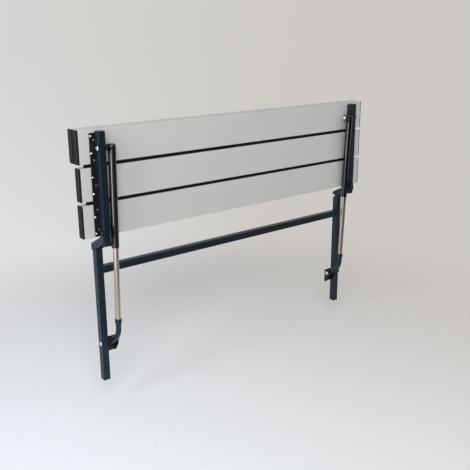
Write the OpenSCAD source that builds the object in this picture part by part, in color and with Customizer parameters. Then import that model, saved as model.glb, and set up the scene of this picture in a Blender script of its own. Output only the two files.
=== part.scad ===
// Wall-mounted folding table, folded up against the wall.
// X runs along the wall to the right, the wall is the plane Y = 0, the room is at -Y, Z is up.
// The origin is the centre of the wall fixing holes, on the wall plane.

/* [Wall frame] */
// Side of the square upright tubes
upright_w = 32; // [28:1:36]
// Wall thickness of the frame and arm tubes
tube_wall = 2; // [1.5:0.1:2.6]
// Height of each upright with its end plugs
upright_h = 644; // [640:1:650]
// Side of the square crossbar tube
crossbar_w = 32; // [24:1:32]
// Height of the crossbar's centre above the uprights' feet
crossbar_rise = 525; // [420:5:535]
// Height of the lower wall fixing hole above the foot
fix_low = 60; // [40:5:90]
// Height of the upper wall fixing hole above the foot
fix_high = 570; // [565:5:590]
// Diameter of the wall fixing holes
fix_hole_d = 8.5; // [6.5:0.5:10.5]

/* [Table leaf] */
// Overall length of the tabletop with its end caps
leaf_len = 1684; // [1500:2:1860]
// Length of the tabletop outboard of an arm's centre line
leaf_overhang = 92; // [60:1:120]
// Width of one slat
slat_w = 140; // [138:1:142]
// Thickness of one slat
slat_t = 40; // [36:1:42]
// Wall thickness of the hollow slats
slat_wall = 4; // [3:0.5:6]
// Number of chambers inside a slat
slat_chambers = 3; // [3:2:5]
// Rounding of the long slat edges
slat_edge_r = 3; // [1:0.5:5]
// Gap between neighbouring slats
slat_gap = 15; // [13:1:17]
// Height of the leaf's lower edge above the foot, folded up
leaf_low = 693; // [690:1:698]
// Gap between the wall rail and the folded leaf
rest_gap = 0.5; // [0.4:0.1:1.5]
// Diameter of the fixing holes in the wall rail
rail_hole_d = 7; // [5:0.5:9]
// Distance between the wall rail's two fixing holes
rail_hole_spacing = 1200; // [600:10:1400]

/* [Slat end caps and joint strips] */
// Thickness of an end cap outside the slat
cap_t = 5; // [3:0.5:6]
// Length of the legs that hold an end cap in the slat
cap_leg = 18; // [8:1:30]
// Height of the ribs on an end cap
cap_rib_h = 0.8; // [0.4:0.1:1.2]
// Width of a rib on an end cap
cap_rib_w = 3.2; // [2:0.2:4]
// Number of ribs on an end cap
cap_ribs = 5; // [3:1:7]
// Distance of a joint strip's end from the slat's end
strip_inset = 32; // [10:1:60]
// Thickness of a joint strip across the leaf
strip_t = 20; // [10:1:26]
// Depth of a joint strip below the underside of the slats
strip_sink = 6; // [2:1:8]

/* [Arms] */
// Side of the square arm tubes
arm_w = 32; // [28:1:32]
// Height of an arm's lower end above the foot, folded up
arm_low = 654; // [652:1:660]
// Distance from the arm's upper end to the leaf's upper edge
arm_top_in = 7; // [2:1:20]
// Thickness of the flange plate between arm and slats
flange_t = 3; // [2:0.5:5]
// Width of the flange outboard of the arm
flange_out = 24; // [20:1:30]
// Distance from the flange's lower end to the leaf's lower edge
flange_low_in = 4; // [2:1:10]
// Distance from the flange's upper end to the leaf's upper edge
flange_top_in = 14; // [8:1:20]
// Thickness of the cap on a tube plug
plug_cap_t = 3; // [2:0.5:5]
// Length of a tube plug inside the tube
plug_leg = 20; // [10:1:30]

/* [Screws on the flanges] */
// Distance between the two screws of a pair
screw_pair_gap = 70; // [60:1:76]
// Distance between neighbouring pairs of screws
screw_pair_pitch = 168.5; // [166:0.5:171]
// Diameter of a flange screw's head
screw_head_d = 9; // [6:0.5:10]
// Diameter of a flange screw's shank
screw_d = 4; // [3:0.5:5]
// Length of a flange screw under its head
screw_len = 16; // [12:1:24]
// Height of the screw heads
screw_head_h = 2.5; // [1.5:0.5:3.5]
// Diameter of a flange rivet's head
rivet_head_d = 7; // [5:0.5:8]
// Height of a rivet's head
rivet_head_h = 1.4; // [1:0.1:2]
// Distance from the flange's middle to the near rivets
rivet_near = 103; // [98:1:106]
// Distance from the flange's middle to the far rivets
rivet_far = 187; // [160:1:195]

/* [Hinge] */
// Height of the hinge axis above the foot
hinge_rise = 628; // [624:1:632]
// Distance of the hinge axis from the wall
hinge_out = 16; // [15:0.5:17]
// Diameter of the hinge bolts' shanks
hinge_bolt_d = 10; // [8:1:12]
// Radius of the bracket round the hinge
hinge_eye_r = 17; // [15:0.5:18]
// Thickness of the hinge bracket's cheeks
cheek_t = 4; // [3:0.5:5]
// Thickness of the washers between cheek and upright
hinge_washer_t = 1; // [0.6:0.1:1.6]
// Diameter of the washers between cheek and upright
hinge_washer_d = 22; // [18:1:26]
// Height of the lower bracket bolt above the foot
bracket_bolt_low = 680; // [676:1:684]
// Height of the upper bracket bolt above the foot
bracket_bolt_high = 714; // [712:1:720]
// Diameter of the bracket bolts
bracket_bolt_d = 8; // [6:1:8]

/* [Telescopic struts] */
// Distance of a strut's centre line inboard of its upright's centre line
strut_in = 40; // [39:0.5:46]
// Height of the strut's foot pivot above the uprights' feet
foot_rise = 180; // [176:1:184]
// Distance of the foot pivot from the wall
foot_out = 24; // [22:0.5:25]
// Height of the strut's head pivot above the uprights' feet
head_rise = 1068; // [1064:1:1072]
// Distance of the head pivot from the wall
head_out = 103; // [102.5:0.5:105]
// Distance of the head pivot behind the strut's centre line
head_back = 17; // [16.5:0.5:19]
// Lean of the strut away from the wall, folded up
strut_lean = 2.4; // [2.3:0.1:3.2]
// Outer diameter of the sleeve
sleeve_d = 33; // [32.6:0.1:34]
// Wall thickness of the sleeve
sleeve_wall = 1.3; // [1:0.1:1.4]
// Length of the sleeve tube
sleeve_len = 408; // [380:2:408]
// Outer diameter of the rod
rod_d = 24; // [22:0.5:24]
// Wall thickness of the rod
rod_wall = 2; // [1.5:0.1:3]
// Length of the rod inside the folded-up sleeve
rod_overlap = 55; // [40:1:60]
// Shift of the rod towards the room inside the folded-up sleeve
rod_shift = 2.8; // [0:0.1:2.9]
// Diameter of the pivot bolts' shanks
pivot_bolt_d = 10; // [8:1:12]
// Diameter of the broad washers under the pivot bolts' heads
pivot_washer_d = 26; // [20:1:30]

/* [Elbow at the rod's foot] */
// Height of the collar's top above the foot pivot, along the strut
collar_top = 131; // [120:1:131]
// Length of the collar
collar_len = 22; // [16:1:30]
// Outer diameter of the collar
collar_d = 30; // [28:0.5:32]
// Bend radius of the elbow's centre line
elbow_r = 75; // [60:1:78]
// Angle through which the elbow turns
elbow_bend = 50; // [46:1:52]
// Depth of the rod's seat in the collar
rod_seat = 18; // [12:1:20]

/* [Strut bracket on the upright] */
// Height of the strut bracket
foot_bracket_h = 70; // [60:1:80]
// Height of the bracket above the foot pivot
foot_bracket_over = 14; // [13:1:18]
// Depth of the strut bracket from the wall
foot_bracket_d = 38; // [36:1:42]
// Thickness of the strut bracket's plates
foot_bracket_t = 3; // [2:0.5:4]
// Clear width between the strut bracket's cheeks
foot_bracket_gap = 42; // [38:1:44]
// Depth of the slope at the strut bracket's lower front corner
foot_bracket_cut = 28; // [20:1:32]
// Height of that slope
foot_bracket_cut_h = 40; // [30:1:42]

/* [Wing knobs] */
// Height of the knobs above the foot, folded up
knob_rise = 703; // [702:1:704]
// Distance of a knob inboard of the arm's centre line
knob_in = 7; // [2:0.5:8]
// Diameter of the knob's hub
knob_hub_d = 17; // [14:0.5:20]
// Height of the knob's hub in front of the arm
knob_hub_h = 16; // [12:1:20]
// Span over both wings
knob_span = 54; // [44:1:56]
// Thickness of a wing
knob_wing_t = 6; // [4:0.5:9]
// Depth of a wing at its tip
knob_wing_d = 18; // [10:1:20]
// Diameter of the knob's threaded stud
knob_stud_d = 6; // [5:1:6]

/* [Hidden] */

// Facets of large and of small round features
fn_large = 64;
fn_small = 32;
// Overlap that lets a cut pass right through a face
cut = 1;

// Clearances, on the radius or on one side
fit_gap = 0.2;
pin_gap = 0.05;
seat_gap = 0.1;

left = -1;
right = 1;
sides = [left, right];

// Colours
coat_colour = [0.17, 0.19, 0.22];
slat_colour = [0.74, 0.75, 0.75];
cap_colour = [0.23, 0.22, 0.22];
steel_colour = [0.80, 0.80, 0.80];
black_colour = [0.06, 0.06, 0.07];
rod_colour = [0.72, 0.68, 0.65];
nylon_colour = [0.20, 0.20, 0.20];

// Spacing of the uprights, and heights in the row frame
foot_z = -(fix_low + fix_high) / 2;
upright_spacing = leaf_len - 2 * leaf_overhang;
upright_len = upright_h - 2 * plug_cap_t;
hinge_z = foot_z + hinge_rise;
leaf_low_z = foot_z + leaf_low;
slat_pitch = slat_w + slat_gap;
leaf_high_z = leaf_low_z + 3 * slat_w + 2 * slat_gap;
arm_low_z = foot_z + arm_low;
arm_high_z = leaf_high_z - arm_top_in;

// Depths from the wall, as distances into the room
leaf_back = slat_t + rest_gap;
leaf_front = leaf_back + slat_t;
arm_back = leaf_front + flange_t;
arm_mid = arm_back + arm_w / 2;
arm_front = arm_back + arm_w;

// Hinge bracket
cheek_inner = max(upright_w, arm_w) / 2 + hinge_washer_t;
cheek_outer = cheek_inner + cheek_t;
eye_rise = 8;
eye_out_shift = 2;
eye_at = [-hinge_out - eye_out_shift, hinge_z + eye_rise];
bolt_low_at = [-arm_mid, foot_z + bracket_bolt_low];
bolt_high_at = [-arm_mid, foot_z + bracket_bolt_high];
tab_low_r = 16;
tab_high_r = 11;
web_margin = 4;
bracket_nut_h = 0.8;

// Strut geometry. Its own frame stands on the foot pivot, leaning by strut_lean.
foot_z_at = foot_z + foot_rise;
head_z_at = foot_z + head_rise;
pivot_dy = head_out - foot_out;
pivot_dz = head_rise - foot_rise;
strut_len = pivot_dy * sin(strut_lean) + pivot_dz * cos(strut_lean);
sleeve_out = head_back + pivot_dy * cos(strut_lean) - pivot_dz * sin(strut_lean);
elbow_out = sleeve_out + rod_shift;
sleeve_r = sleeve_d / 2;
sleeve_bore_r = sleeve_r - sleeve_wall;
rod_r = rod_d / 2;
eye_neck = 20;
eye_over = 17;
sleeve_top = strut_len - eye_neck;
sleeve_bottom = sleeve_top - sleeve_len;
rod_bottom = collar_top - rod_seat;
rod_top = sleeve_bottom + rod_overlap;
lug_half = 12;
lug_r = 13;
spigot_len = 12;
plug_rim = 4;
screw_drop = 9;
tail_r = rod_r + 0.5;
run_gap = 0.3;

// Fasteners
head_h = 6;
washer_h = 2;
nut_h = 8;
hex_d = 19;
pilot_gap = 0.1;
rivet_len = slat_wall + flange_t + 2;
button_h = 3;
button_d = 11;
spacer_d = 20;
hinge_cap_d = 21;
cap_room = 3;

// Outline tools

// Unit vector from a to b
function heading(a, b) = (b - a) / norm(b - a);
// Vector turned a quarter turn to the left
function left_of(v) = [-v[1], v[0]];
// Point where the common tangent leaves a circle, on the given side
function tangent_at(c, r, dir, lean, side) =
    c + r * (sin(lean) * dir + side * cos(lean) * left_of(dir));

// Flat link with round ends of two radii
module link_2d(a, ra, b, rb) {
    dir = heading(a, b);
    lean = asin((ra - rb) / norm(b - a));
    translate(a) circle(r = ra, $fn = fn_large);
    translate(b) circle(r = rb, $fn = fn_large);
    polygon([
        tangent_at(a, ra, dir, lean, 1),
        tangent_at(a, ra, dir, lean, -1),
        tangent_at(b, rb, dir, lean, -1),
        tangent_at(b, rb, dir, lean, 1)
    ]);
}

// Rectangle with rounded corners, centred
module rounded_rect(w, h, r) {
    square([w - 2 * r, h], center = true);
    square([w, h - 2 * r], center = true);
    for (x = [-1, 1], y = [-1, 1])
        translate([x * (w / 2 - r), y * (h / 2 - r)]) circle(r = r, $fn = fn_small);
}

// Stands a flat outline drawn as (Y, Z) up in the YZ plane, from X = x0 to X = x1
module plate_x(x0, x1) {
    translate([x0, 0, 0]) rotate([90, 0, 90]) linear_extrude(height = x1 - x0) children();
}

// Triangle that slopes off the corner at the origin, over d along X and h along Y
module corner_slope(d, h) {
    polygon([[-cut, -cut], [d + cut * d / h, -cut], [-cut, h + cut * h / d]]);
}

// Cylinder along X from x0 to x1
module rod_x(x0, x1, r, fn = fn_large) {
    translate([min(x0, x1), 0, 0]) rotate([0, 90, 0]) cylinder(h = abs(x1 - x0), r = r, $fn = fn);
}

// Cylinder along Y from y0 towards the room
module pin_y(y0, len, r, fn = fn_small) {
    translate([0, y0, 0]) rotate([90, 0, 0]) cylinder(h = len, r = r, $fn = fn);
}

// Places a child on the centre line of the upright and arm of one side
module at_side(side) {
    translate([side * upright_spacing / 2, 0, 0]) children();
}

// Mirrors a child drawn for the right side, with +X outboard
module outboard(side) {
    at_side(side) mirror([side == left ? 1 : 0, 0, 0]) children();
}

// Square tube profile
module tube_profile(w) {
    corner_r = tube_wall;
    difference() {
        rounded_rect(w, w, corner_r);
        rounded_rect(w - 2 * tube_wall, w - 2 * tube_wall, corner_r / 2);
    }
}

// Hexagon nut or head along +X with a domed end
module acorn_nut(d) {
    rod_x(0, nut_h - 1, d / 2, 6);
    rotate([0, 90, 0]) rotate_extrude($fn = fn_small) intersection() {
        translate([0, nut_h - 2]) circle(r = d * 0.42, $fn = fn_small);
        square([d, nut_h + d]);
    }
}

// Shallow domed bolt head along +X, seat at X = 0
module button_head(d, h) {
    ball_r = (d * d / 4 + h * h) / (2 * h);
    rotate([0, 90, 0]) rotate_extrude($fn = fn_large) intersection() {
        translate([0, h - ball_r]) circle(r = ball_r, $fn = 2 * fn_large);
        square([d, h]);
    }
}

// Wall frame

module upright(side) {
    color(coat_colour)
    outboard(side) difference() {
        translate([0, -upright_w / 2, foot_z + plug_cap_t])
            linear_extrude(height = upright_len) tube_profile(upright_w);
        translate([0, -hinge_out, hinge_z])
            rod_x(-upright_w, upright_w, hinge_bolt_d / 2 + pin_gap);
        translate([0, -foot_out, foot_z_at])
            rod_x(-upright_w, upright_w, pivot_bolt_d / 2 + pin_gap);
        for (rise = [fix_low, fix_high])
            translate([0, cut, foot_z + rise]) pin_y(0, upright_w + 2 * cut, fix_hole_d / 2);
    }
}

module crossbar() {
    clear = upright_spacing - upright_w;
    color(coat_colour)
    translate([-clear / 2, -crossbar_w / 2, foot_z + crossbar_rise])
        rotate([90, 0, 90]) linear_extrude(height = clear) tube_profile(crossbar_w);
}

// Plug for a tube end, with its cap on top and its hollow leg pointing down
module tube_plug(w, leg) {
    bore_w = w - 2 * tube_wall - 2 * fit_gap;
    linear_extrude(height = plug_cap_t) rounded_rect(w, w, tube_wall);
    translate([0, 0, -leg]) linear_extrude(height = leg) difference() {
        rounded_rect(bore_w, bore_w, 1);
        rounded_rect(bore_w - 2 * tube_wall, bore_w - 2 * tube_wall, 1);
    }
}

module upright_plugs() {
    above_bolt = upright_h - plug_cap_t - hinge_rise - hinge_bolt_d / 2 - 1;
    color(black_colour)
    for (side = sides) at_side(side) translate([0, -upright_w / 2, foot_z + plug_cap_t]) {
        mirror([0, 0, 1]) tube_plug(upright_w, plug_leg);
        translate([0, 0, upright_len]) tube_plug(upright_w, min(plug_leg, above_bolt));
    }
}

// Inboard distances of the strut bracket's two cheeks
bracket_in_near = strut_in - foot_bracket_gap / 2;
bracket_in_far = strut_in + foot_bracket_gap / 2;

module strut_bracket(side) {
    high = foot_z_at + foot_bracket_over;
    low = high - foot_bracket_h;
    front_r = 6;
    color(coat_colour)
    outboard(side) difference() {
        union() {
            for (x = [-upright_w / 2 - foot_bracket_t, -bracket_in_far - foot_bracket_t])
                plate_x(x, x + foot_bracket_t) difference() {
                    union() {
                        translate([-foot_bracket_d + front_r, low])
                            square([foot_bracket_d - front_r, foot_bracket_h]);
                        translate([-foot_bracket_d, low])
                            square([front_r + cut, foot_bracket_h - front_r]);
                        translate([-foot_bracket_d + front_r, high - front_r])
                            circle(r = front_r, $fn = fn_small);
                    }
                    translate([-foot_bracket_d, low]) corner_slope(foot_bracket_cut, foot_bracket_cut_h);
                }
            translate([-bracket_in_far - foot_bracket_t, -foot_bracket_t, low])
                cube([bracket_in_far + foot_bracket_t - upright_w / 2, foot_bracket_t, foot_bracket_h]);
        }
        translate([0, -foot_out, foot_z_at])
            rod_x(-bracket_in_far - 2 * foot_bracket_t, 0, pivot_bolt_d / 2 + pin_gap);
    }
}

// Pivot bolt with a button head outboard and an acorn nut inboard, both on broad washers
module pivot_bolt(out_face, in_face) {
    rod_x(-in_face - washer_h - nut_h / 2, out_face + washer_h + 1, pivot_bolt_d / 2);
    translate([out_face + washer_h, 0, 0]) button_head(pivot_washer_d - 4, head_h - washer_h);
    translate([-in_face - washer_h, 0, 0]) mirror([1, 0, 0]) acorn_nut(hex_d);
}

// The two broad washers of a pivot bolt
module pivot_washers(out_face, in_face) {
    spacer(out_face, out_face + washer_h, pivot_washer_d, pivot_bolt_d);
    spacer(-in_face - washer_h, -in_face, pivot_washer_d, pivot_bolt_d);
}

foot_bolt_in = bracket_in_far + foot_bracket_t;
head_bolt_in = strut_in + lug_half + seat_gap;

module strut_foot_bolts() {
    color(steel_colour)
    for (side = sides) outboard(side) translate([0, -foot_out, foot_z_at])
        pivot_bolt(upright_w / 2, foot_bolt_in);
}

module strut_foot_washers() {
    color(black_colour)
    for (side = sides) outboard(side) translate([0, -foot_out, foot_z_at])
        pivot_washers(upright_w / 2, foot_bolt_in);
}

// Bush round a pivot bolt
module spacer(x0, x1, d, bolt_d) {
    difference() {
        rod_x(x0, x1, d / 2);
        rod_x(x0 - cut, x1 + cut, bolt_d / 2 + pin_gap);
    }
}

module strut_foot_spacers() {
    color(nylon_colour)
    for (side = sides) outboard(side) translate([0, -foot_out, foot_z_at]) {
        spacer(-bracket_in_far, -strut_in - tail_r - run_gap, spacer_d, pivot_bolt_d);
        spacer(-strut_in + tail_r + run_gap, -upright_w / 2 - foot_bracket_t, spacer_d, pivot_bolt_d);
    }
}

module hinge_bolts() {
    color(steel_colour)
    for (side = sides) outboard(side) translate([0, -hinge_out, hinge_z]) {
        rod_x(-cheek_outer - nut_h / 2, cheek_outer + 1, hinge_bolt_d / 2);
        translate([cheek_outer, 0, 0]) rod_x(0, cap_room, hinge_cap_d / 2 - 3);
        translate([-cheek_outer, 0, 0]) mirror([1, 0, 0]) acorn_nut(hex_d);
    }
}

// Domed covers over the hinge bolts' outboard heads
module hinge_caps() {
    color(black_colour)
    for (side = sides) outboard(side) translate([cheek_outer, -hinge_out, hinge_z]) difference() {
        button_head(hinge_cap_d, cap_room + 3.5);
        rod_x(-cut, cap_room + seat_gap, hinge_cap_d / 2 - 3 + seat_gap);
    }
}

module hinge_washers() {
    color(nylon_colour)
    for (side = sides) outboard(side) translate([0, -hinge_out, hinge_z])
        for (flip = [0, 1]) mirror([flip, 0, 0])
            spacer(upright_w / 2, cheek_inner - seat_gap, hinge_washer_d, hinge_bolt_d);
}

// Slats

chamber_w = (slat_w - (slat_chambers + 1) * slat_wall) / slat_chambers;
chamber_h = slat_t - 2 * slat_wall;
slat_half = leaf_len / 2 - cap_t;
rail_hole_z = leaf_high_z - slat_w / 2;

// Centre of chamber i across the slat
function chamber_at(i) = -slat_w / 2 + slat_wall + chamber_w / 2 + i * (chamber_w + slat_wall);

// Hollow slat profile, with its thickness along X and its width along Y
module slat_profile() {
    difference() {
        rounded_rect(slat_t, slat_w, slat_edge_r);
        for (i = [0 : slat_chambers - 1])
            translate([0, chamber_at(i)]) rounded_rect(chamber_h, chamber_w, 1);
    }
}

// Slat i, counted up from the hinge side, with its back at depth back
module slat(i, back) {
    translate([-slat_half, -back - slat_t / 2, leaf_low_z + slat_w / 2 + i * slat_pitch])
        rotate([90, 0, 90]) linear_extrude(height = 2 * slat_half) slat_profile();
}

// Heights of the flange screws and rivets, from the flange's middle
screw_rises = [for (k = [-1 : 1], s = [-1, 1]) k * screw_pair_pitch + s * screw_pair_gap / 2];
rivet_rises = [-rivet_far, -rivet_near, 0, rivet_near, rivet_far];
flange_low_z = leaf_low_z + flange_low_in;
flange_high_z = leaf_high_z - flange_top_in;
flange_mid_z = (flange_low_z + flange_high_z) / 2;
screw_x = arm_w / 2 + flange_out * 0.75;
rivet_x = arm_w / 2 + flange_out * 0.23;

// Holes for the flange screws and rivets, from in front of the flange to the given depths in the slats
module pilot_holes(screw_depth, rivet_depth) {
    for (side = sides) outboard(side) {
        for (rise = screw_rises)
            translate([screw_x, -leaf_front + screw_depth, flange_mid_z + rise])
                pin_y(0, screw_depth + flange_t + cut, screw_d / 2 + pilot_gap);
        for (rise = rivet_rises)
            translate([rivet_x, -leaf_front + rivet_depth, flange_mid_z + rise])
                pin_y(0, rivet_depth + flange_t + cut, screw_d / 2 + pilot_gap);
    }
}

module leaf_slat(i) {
    color(slat_colour)
    difference() {
        slat(i, leaf_back);
        pilot_holes(screw_len - flange_t + cut, rivet_len - flange_t + cut);
    }
}

module wall_rail() {
    color(slat_colour)
    difference() {
        slat(2, 0);
        for (x = [-1, 1])
            translate([x * rail_hole_spacing / 2, cut, rail_hole_z])
                pin_y(0, slat_t + 2 * cut, rail_hole_d / 2);
    }
}

// End cap for a slat, outside face towards +X, seat at X = 0
module slat_cap() {
    rib_pitch = (slat_t - 2 * slat_edge_r) / cap_ribs;
    plate_t = cap_t - cap_rib_h;
    rotate([90, 0, 90]) {
        linear_extrude(height = plate_t) rounded_rect(slat_t, slat_w, slat_edge_r);
        for (k = [-(cap_ribs - 1) / 2 : (cap_ribs - 1) / 2])
            translate([k * rib_pitch, 0, plate_t / 2])
                linear_extrude(height = cap_t - plate_t / 2)
                    rounded_rect(cap_rib_w, slat_w - 4 * slat_edge_r, cap_rib_w / 3);
        for (i = [0, slat_chambers - 1])
            translate([0, chamber_at(i), -cap_leg])
                linear_extrude(height = cap_leg + plate_t / 2) difference() {
                    rounded_rect(chamber_h - 2 * fit_gap, chamber_w - 2 * fit_gap, 1);
                    rounded_rect(chamber_h - 2 * slat_wall, chamber_w - 2 * slat_wall, 1);
                }
    }
}

// End cap of slat i at one end
module cap_at(side, i, back) {
    mirror([side == left ? 1 : 0, 0, 0])
        translate([slat_half, -back - slat_t / 2, leaf_low_z + slat_w / 2 + i * slat_pitch]) slat_cap();
}

module slat_caps(side) {
    color(cap_colour)
    for (i = [0 : 2]) cap_at(side, i, leaf_back);
}

module wall_rail_caps() {
    color(cap_colour)
    for (side = sides) cap_at(side, 2, 0);
}

module joint_strips() {
    strip_w = slat_gap - 2 * seat_gap;
    half = leaf_len / 2 - strip_inset;
    strip_mid = leaf_front - strip_sink - strip_t / 2;
    color(black_colour)
    for (i = [0, 1])
        translate([-half, -strip_mid, leaf_low_z + slat_w + slat_gap / 2 + i * slat_pitch])
            rotate([90, 0, 90]) linear_extrude(height = 2 * half) difference() {
                rounded_rect(strip_t, strip_w, 1.5);
                rounded_rect(strip_t - 6, strip_w - 6, 1);
            }
}

// Arms

module arm(side) {
    color(coat_colour)
    outboard(side) difference() {
        translate([0, -arm_mid, arm_low_z + plug_cap_t])
            linear_extrude(height = arm_high_z - arm_low_z - 2 * plug_cap_t) tube_profile(arm_w);
        translate([0, -head_out, head_z_at])
            rod_x(-arm_w, arm_w, pivot_bolt_d / 2 + pin_gap);
        for (at = [bolt_low_at, bolt_high_at])
            translate([0, at[0], at[1]]) rod_x(-arm_w, arm_w, bracket_bolt_d / 2 + pin_gap);
        translate([-knob_in, -arm_front + 2 * tube_wall, foot_z + knob_rise])
            pin_y(0, 3 * tube_wall, knob_stud_d / 2 + pin_gap);
    }
}

module arm_plugs() {
    below_bolt = bracket_bolt_low - arm_low - plug_cap_t - bracket_bolt_d / 2 - 1;
    color(black_colour)
    for (side = sides) at_side(side) translate([0, -arm_mid, 0]) {
        translate([0, 0, arm_high_z - plug_cap_t]) tube_plug(arm_w, plug_leg);
        translate([0, 0, arm_low_z + plug_cap_t]) mirror([0, 0, 1])
            tube_plug(arm_w, min(plug_leg, below_bolt));
    }
}

module flange(side) {
    width = arm_w + flange_out;
    height = flange_high_z - flange_low_z;
    corner_r = 5;
    color(coat_colour)
    difference() {
        outboard(side) translate([flange_out / 2, -leaf_front, flange_mid_z])
            rotate([90, 0, 0]) linear_extrude(height = flange_t) rounded_rect(width, height, corner_r);
        pilot_holes(cut, cut);
    }
}

module flange_screws() {
    color(steel_colour)
    for (side = sides) outboard(side) for (rise = screw_rises)
        translate([screw_x, 0, flange_mid_z + rise]) {
            translate([0, -leaf_front + screw_len - flange_t, 0]) pin_y(0, screw_len, screw_d / 2);
            translate([0, -arm_back, 0]) rotate([0, 0, -90]) button_head(screw_head_d, screw_head_h);
        }
}

module flange_rivets() {
    color(cap_colour)
    for (side = sides) outboard(side) for (rise = rivet_rises)
        translate([rivet_x, 0, flange_mid_z + rise]) {
            translate([0, -arm_back + rivet_len, 0]) pin_y(0, rivet_len, screw_d / 2);
            translate([0, -arm_back, 0]) rotate([0, 0, -90]) button_head(rivet_head_d, rivet_head_h);
        }
}

// Side outline of the hinge bracket
module cheek_2d() {
    link_2d(eye_at, hinge_eye_r, bolt_low_at, tab_low_r);
    link_2d(bolt_low_at, tab_low_r, bolt_high_at, tab_high_r);
}

module hinge_bracket(side) {
    run = heading(eye_at, bolt_low_at);
    web_mid = eye_at[1] + (arm_back - cheek_t / 2 + eye_at[0]) * run[1] / abs(run[0]);
    web_h = 2 * tab_low_r / abs(run[0]) - web_margin;
    color(coat_colour)
    outboard(side) difference() {
        union() {
            for (x = [-cheek_outer, cheek_inner]) plate_x(x, x + cheek_t) cheek_2d();
            translate([-cheek_inner - cut, -arm_back, web_mid - web_h / 2])
                cube([2 * (cheek_inner + cut), cheek_t, web_h]);
        }
        translate([0, -hinge_out, hinge_z])
            rod_x(-2 * cheek_outer, 2 * cheek_outer, hinge_bolt_d / 2 + pin_gap);
        for (at = [bolt_low_at, bolt_high_at])
            translate([0, at[0], at[1]])
                rod_x(-2 * cheek_outer, 2 * cheek_outer, bracket_bolt_d / 2 + pin_gap);
    }
}

module bracket_bolts() {
    color(steel_colour)
    for (side = sides) outboard(side) for (at = [bolt_low_at, bolt_high_at])
        translate([0, at[0], at[1]]) {
            rod_x(-cheek_outer - bracket_nut_h, cheek_outer, bracket_bolt_d / 2);
            translate([cheek_outer, 0, 0]) button_head(button_d, button_h);
        }
}

module strut_head_bolts() {
    color(steel_colour)
    for (side = sides) outboard(side) translate([0, -head_out, head_z_at])
        pivot_bolt(arm_w / 2, head_bolt_in);
}

module strut_head_washers() {
    color(black_colour)
    for (side = sides) outboard(side) translate([0, -head_out, head_z_at])
        pivot_washers(arm_w / 2, head_bolt_in);
}

module strut_head_spacers() {
    color(nylon_colour)
    for (side = sides) outboard(side) translate([0, -head_out, head_z_at])
        spacer(-strut_in + lug_half + seat_gap, -arm_w / 2, spacer_d, pivot_bolt_d);
}

// Struts

// Frame of one strut: origin on the foot pivot's axis, Z along the strut
module strut_frame(side) {
    outboard(side) translate([-strut_in, -foot_out, foot_z_at]) rotate([strut_lean, 0, 0]) children();
}

// Moves from the foot pivot's axis to the sleeve's centre line at height h
module on_sleeve_line(h) {
    translate([0, -sleeve_out, h]) children();
}

// Moves from the foot pivot's axis to the rod's centre line at height h
module on_rod_line(h) {
    translate([0, -elbow_out, h]) children();
}

module sleeve_tube(side) {
    color(coat_colour)
    strut_frame(side) on_sleeve_line(sleeve_bottom) difference() {
        cylinder(h = sleeve_len, r = sleeve_r, $fn = fn_large);
        translate([0, 0, -cut]) cylinder(h = sleeve_len + 2 * cut, r = sleeve_bore_r, $fn = fn_large);
    }
}

// Head of the sleeve: a spigot in the tube, and a domed head with two flats and the pivot's bore
module sleeve_eye(side) {
    dome_r = 9;
    head_rise_over = eye_neck + eye_over;
    color(black_colour)
    strut_frame(side) difference() {
        union() {
            on_sleeve_line(sleeve_top - spigot_len)
                cylinder(h = spigot_len + cut, r = sleeve_bore_r - seat_gap, $fn = fn_large);
            intersection() {
                on_sleeve_line(sleeve_top) rotate_extrude($fn = fn_large) {
                    square([sleeve_r, head_rise_over - dome_r]);
                    square([sleeve_r - dome_r, head_rise_over]);
                    translate([sleeve_r - dome_r, head_rise_over - dome_r]) intersection() {
                        circle(r = dome_r, $fn = fn_large);
                        square(dome_r);
                    }
                }
                on_sleeve_line(sleeve_top) translate([-lug_half, -sleeve_d, 0])
                    cube([2 * lug_half, 2 * sleeve_d, head_rise_over]);
            }
            plate_x(-lug_half, lug_half)
                link_2d([-sleeve_out + head_back, strut_len], lug_r, [-sleeve_out, strut_len], lug_r);
        }
        translate([0, -sleeve_out + head_back, strut_len])
            rod_x(-2 * lug_half, 2 * lug_half, pivot_bolt_d / 2 + pin_gap);
    }
}

module rod_tube(side) {
    color(rod_colour)
    strut_frame(side) on_rod_line(rod_bottom) difference() {
        cylinder(h = rod_top - rod_bottom, r = rod_r, $fn = fn_large);
        translate([0, 0, -cut])
            cylinder(h = rod_top - rod_bottom + 2 * cut, r = rod_r - rod_wall, $fn = fn_large);
    }
}

module rod_plug(side) {
    color(black_colour)
    strut_frame(side) on_rod_line(rod_top) {
        cylinder(h = plug_rim, r = rod_r, $fn = fn_large);
        translate([0, 0, -plug_leg])
            cylinder(h = plug_leg + cut, r = rod_r - rod_wall - seat_gap, $fn = fn_large);
    }
}

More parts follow.
